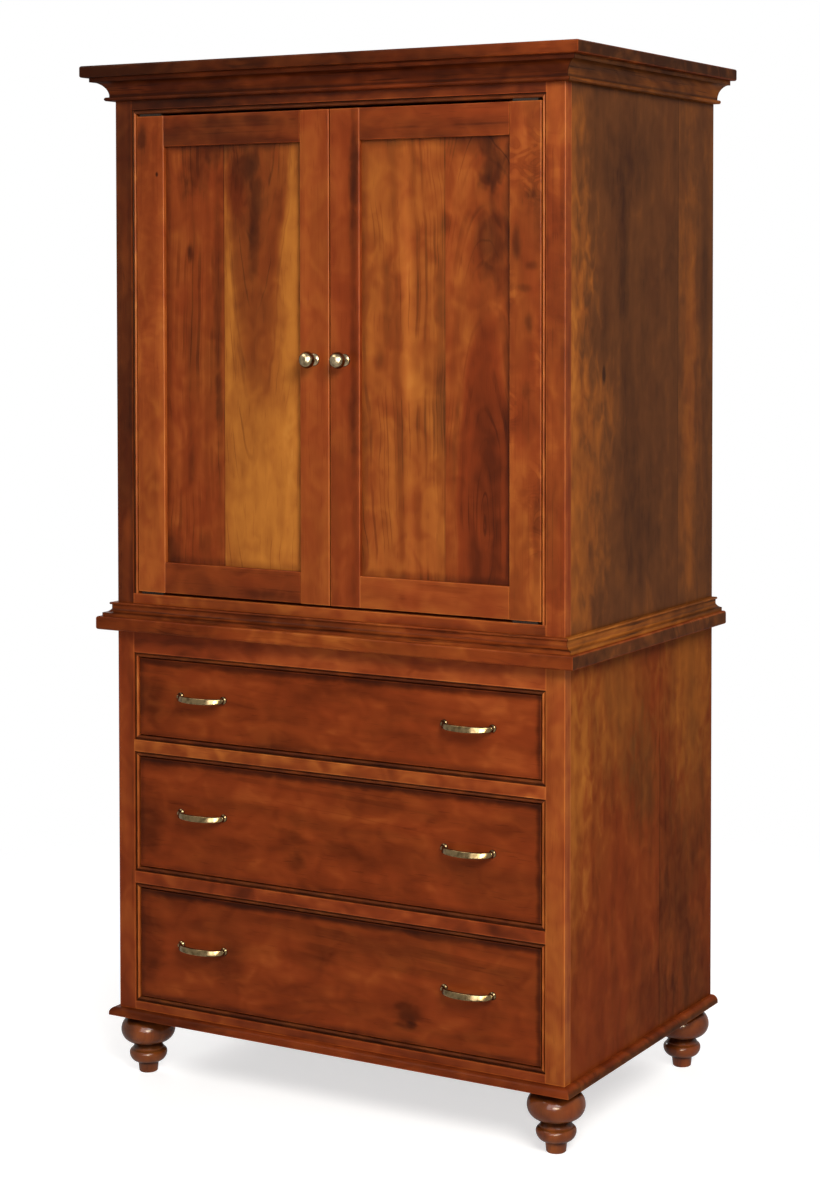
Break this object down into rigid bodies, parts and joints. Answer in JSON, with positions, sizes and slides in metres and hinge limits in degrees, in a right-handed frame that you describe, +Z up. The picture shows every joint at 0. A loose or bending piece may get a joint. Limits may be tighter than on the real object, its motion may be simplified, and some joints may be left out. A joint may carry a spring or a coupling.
{
  "type": "computer armoire",
  "caption": "Two-part wooden armoire: a two-door cabinet with shelves and a keyboard tray on a chest of wide drawers, with crown and waist mouldings and turned feet.",
  "frame": {"origin": "on the floor under the middle of the outline", "axes": "+Z up along the height, front towards -Y, +X towards the right door"},
  "size_m": [1.1, 0.7, 2.009],
  "materials": {
    "cherry_frame": "satin stained cherry",
    "cherry_panel": "satin stained cherry, plain-sawn panel",
    "cherry_drawer_front": "satin stained cherry, darker board",
    "cherry_side": "satin stained cherry, edge-glued boards",
    "cherry_trim": "satin stained cherry moulding",
    "cherry_plywood": "satin stained plywood",
    "maple_box": "clear satin maple",
    "nickel": "satin nickel plate",
    "hinge_brass": "satin brass",
    "zinc_steel": "zinc-plated sheet steel",
    "grommet_plastic": "matt moulded plastic"
  },
  "bodies": {
    "case": {"foot_front_left": "cherry_frame", "foot_front_right": "cherry_frame", "foot_back_left": "cherry_frame", "foot_back_right": "cherry_frame", "base_slab": "cherry_frame", "waist_slab": "cherry_frame", "crown_slab": "cherry_frame", "waist_moulding": "cherry_trim", "crown_moulding": "cherry_trim", "lower_side_left": "cherry_side", "lower_side_right": "cherry_side", "upper_side_left": "cherry_side", "upper_side_right": "cherry_side", "lower_back": "cherry_plywood", "upper_bottom": "cherry_frame", "upper_back": "cherry_plywood", "lower_stile_left": "cherry_frame", "lower_stile_right": "cherry_frame", "upper_stile_left": "cherry_frame", "upper_stile_right": "cherry_frame", "lower_bottom_rail": "cherry_frame", "drawer_rail_lower": "cherry_frame", "drawer_rail_upper": "cherry_frame", "lower_top_rail": "cherry_frame", "upper_bottom_rail": "cherry_frame", "upper_top_rail": "cherry_frame", "opening_beads": "cherry_trim", "shelves": "cherry_frame", "shelf_pins": "zinc_steel", "cable_grommet": "grommet_plastic", "keyboard_tray": "cherry_frame", "slide_blocks": "maple_box", "slide_rails": "zinc_steel", "hinge_case_leaves": "hinge_brass"},
    "left_door": {"door_left_hinge_stile": "cherry_frame", "door_left_meeting_stile": "cherry_frame", "door_left_top_rail": "cherry_frame", "door_left_bottom_rail": "cherry_frame", "door_left_panel": "cherry_panel", "door_left_knob": "nickel", "door_left_hinge_leaves": "hinge_brass"},
    "right_door": {"door_right_hinge_stile": "cherry_frame", "door_right_meeting_stile": "cherry_frame", "door_right_top_rail": "cherry_frame", "door_right_bottom_rail": "cherry_frame", "door_right_panel": "cherry_panel", "door_right_knob": "nickel", "door_right_hinge_leaves": "hinge_brass"},
    "top_drawer": {"drawer_top_front": "cherry_drawer_front", "drawer_top_box": "maple_box", "drawer_top_pulls": "nickel", "drawer_top_slides": "zinc_steel"},
    "middle_drawer": {"drawer_middle_front": "cherry_drawer_front", "drawer_middle_box": "maple_box", "drawer_middle_pulls": "nickel", "drawer_middle_slides": "zinc_steel"},
    "bottom_drawer": {"drawer_bottom_front": "cherry_drawer_front", "drawer_bottom_box": "maple_box", "drawer_bottom_pulls": "nickel", "drawer_bottom_slides": "zinc_steel"}
  },
  "joints": [
    {"name": "left_door_hinge", "type": "hinge", "parent": "case", "child": "left_door", "pos_m": [-0.438, -0.291, 0.973], "axis": [0, 0, -1], "range_deg": [0, 110]},
    {"name": "right_door_hinge", "type": "hinge", "parent": "case", "child": "right_door", "pos_m": [0.438, -0.291, 0.973], "axis": [0, 0, 1], "range_deg": [0, 110]},
    {"name": "top_drawer_slide", "type": "slide", "parent": "case", "child": "top_drawer", "axis": [0, -1, 0], "range_m": [0, 0.36]},
    {"name": "middle_drawer_slide", "type": "slide", "parent": "case", "child": "middle_drawer", "axis": [0, -1, 0], "range_m": [0, 0.36]},
    {"name": "bottom_drawer_slide", "type": "slide", "parent": "case", "child": "bottom_drawer", "axis": [0, -1, 0], "range_m": [0, 0.36]}
  ]
}
